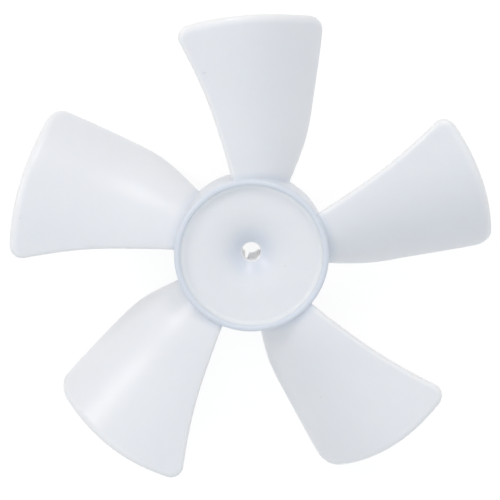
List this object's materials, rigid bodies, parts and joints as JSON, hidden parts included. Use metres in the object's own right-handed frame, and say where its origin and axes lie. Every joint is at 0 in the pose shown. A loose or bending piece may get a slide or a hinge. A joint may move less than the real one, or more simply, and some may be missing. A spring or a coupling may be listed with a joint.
{
  "type": "axial fan impeller",
  "caption": "Axial fan impeller moulded in one piece: a cup hub with a dished face and a split shaft boss, and broad cambered blades with rounded corners set round it.",
  "frame": {"origin": "on the shaft axis, in the plane of the split boss's rear end", "axes": "+Z along the shaft towards the front, the side the air enters, and +Y through the middle of one blade"},
  "size_m": [0.152, 0.1477, 0.0247],
  "materials": {
    "natural_polypropylene": "natural polypropylene, milky and slightly translucent, satin as moulded"
  },
  "bodies": {
    "root": {"impeller": "natural_polypropylene"}
  },
  "joints": []
}
